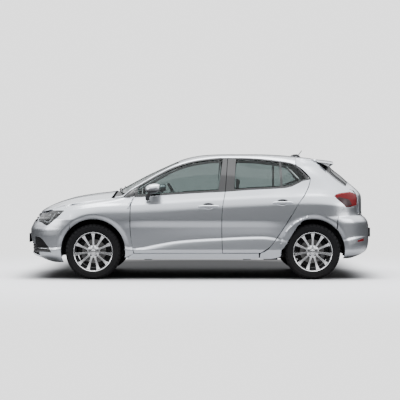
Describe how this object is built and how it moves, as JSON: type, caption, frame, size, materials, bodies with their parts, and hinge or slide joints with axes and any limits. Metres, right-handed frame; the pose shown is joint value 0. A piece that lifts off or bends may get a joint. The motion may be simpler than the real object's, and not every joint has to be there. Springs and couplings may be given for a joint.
{
  "type": "hatchback car",
  "caption": "Compact five-door hatchback car with opening doors, bonnet and tailgate, steering front wheels and a furnished cabin.",
  "frame": {"origin": "middle of the box around the car, at the ground under the tyres", "axes": "front of the car towards -X, its left side towards -Y, up +Z"},
  "size_m": [4.143, 2.0846, 1.479],
  "materials": {
    "body_paint": "gloss",
    "black_plastic": "grained",
    "underbody": "matt",
    "cast_metal": "as cast",
    "exhaust_steel": "dull",
    "window_glass": "tinted",
    "seat_fabric": "woven",
    "alloy": "machined",
    "tyre_rubber": "matt",
    "lamp_clear": "clear",
    "lamp_red": "gloss"
  },
  "bodies": {
    "body": {"floor_pan": "underbody", "sills": "body_paint", "quarter_panels": "body_paint", "roof_rails": "body_paint", "b_pillars": "black_plastic", "roof_panel": "body_paint", "front_fenders": "body_paint", "front_bumper": "body_paint", "grille": "black_plastic", "headlamps": "lamp_clear", "rear_bumper": "body_paint", "tail_lamps": "lamp_red", "windscreen": "window_glass", "cowl_and_wipers": "black_plastic", "dashboard": "black_plastic", "front_seats": "seat_fabric", "rear_seat": "seat_fabric", "engine_block": "cast_metal", "front_suspension": "underbody", "rear_axle": "underbody", "exhaust": "exhaust_steel", "fuel_tank": "black_plastic", "plate_holders": "black_plastic"},
    "bonnet": {"bonnet": "body_paint"},
    "tailgate": {"tailgate": "body_paint", "tailgate_glass": "window_glass", "spoiler": "body_paint"},
    "door_front_left": {"door_front_left": "body_paint", "glass_front_left": "window_glass", "mirror_left": "body_paint"},
    "door_front_right": {"door_front_right": "body_paint", "glass_front_right": "window_glass", "mirror_right": "body_paint"},
    "door_rear_left": {"door_rear_left": "body_paint", "glass_rear_left": "window_glass"},
    "door_rear_right": {"door_rear_right": "body_paint", "glass_rear_right": "window_glass"},
    "steering_wheel": {"steering_wheel": "black_plastic"},
    "knuckle_left": {"knuckle_left": "cast_metal"},
    "knuckle_right": {"knuckle_right": "cast_metal"},
    "wheel_front_left": {"rim_front_left": "alloy", "tyre_front_left": "tyre_rubber"},
    "wheel_front_right": {"rim_front_right": "alloy", "tyre_front_right": "tyre_rubber"},
    "wheel_rear_left": {"rim_rear_left": "alloy", "tyre_rear_left": "tyre_rubber"},
    "wheel_rear_right": {"rim_rear_right": "alloy", "tyre_rear_right": "tyre_rubber"}
  },
  "joints": [
    {"name": "bonnet_hinge", "type": "hinge", "parent": "body", "child": "bonnet", "pos_m": [-1.046, 0, 1.004], "axis": [0, 1, 0], "range_deg": [0, 52]},
    {"name": "tailgate_hinge", "type": "hinge", "parent": "body", "child": "tailgate", "pos_m": [1.33, 0, 1.416], "axis": [0, -1, 0], "range_deg": [0, 78]},
    {"name": "door_front_left_hinge", "type": "hinge", "parent": "body", "child": "door_front_left", "pos_m": [-0.7, -0.868, 0.6], "axis": [0, 0, -1], "range_deg": [0, 66]},
    {"name": "door_front_right_hinge", "type": "hinge", "parent": "body", "child": "door_front_right", "pos_m": [-0.7, 0.868, 0.6], "axis": [0, 0, 1], "range_deg": [0, 66]},
    {"name": "door_rear_left_hinge", "type": "hinge", "parent": "body", "child": "door_rear_left", "pos_m": [0.372, -0.868, 0.6], "axis": [0, 0, -1], "range_deg": [0, 66]},
    {"name": "door_rear_right_hinge", "type": "hinge", "parent": "body", "child": "door_rear_right", "pos_m": [0.372, 0.868, 0.6], "axis": [0, 0, 1], "range_deg": [0, 66]},
    {"name": "steer_left", "type": "hinge", "parent": "body", "child": "knuckle_left", "pos_m": [-1.232, -0.7, 0.323], "axis": [0, 0, 1], "range_deg": [-34, 34]},
    {"name": "steer_right", "type": "hinge", "parent": "body", "child": "knuckle_right", "pos_m": [-1.232, 0.7, 0.323], "axis": [0, 0, 1], "range_deg": [-34, 34]},
    {"name": "steering_wheel_turn", "type": "hinge", "parent": "body", "child": "steering_wheel", "pos_m": [-0.292, -0.35, 0.963], "axis": [0.8829, 0, 0.4695], "range_deg": [-500, 500]},
    {"name": "wheel_front_left_spin", "type": "hinge", "parent": "knuckle_left", "child": "wheel_front_left", "pos_m": [-1.232, -0.762, 0.323], "axis": [0, -1, 0], "continuous": true},
    {"name": "wheel_front_right_spin", "type": "hinge", "parent": "knuckle_right", "child": "wheel_front_right", "pos_m": [-1.232, 0.762, 0.323], "axis": [0, -1, 0], "continuous": true},
    {"name": "wheel_rear_left_spin", "type": "hinge", "parent": "body", "child": "wheel_rear_left", "pos_m": [1.32, -0.762, 0.323], "axis": [0, -1, 0], "continuous": true},
    {"name": "wheel_rear_right_spin", "type": "hinge", "parent": "body", "child": "wheel_rear_right", "pos_m": [1.32, 0.762, 0.323], "axis": [0, -1, 0], "continuous": true}
  ],
  "couplings": [
    {"joint": "steer_right", "follows": "steer_left", "ratio": 1},
    {"joint": "steering_wheel_turn", "follows": "steer_left", "ratio": 14}
  ]
}
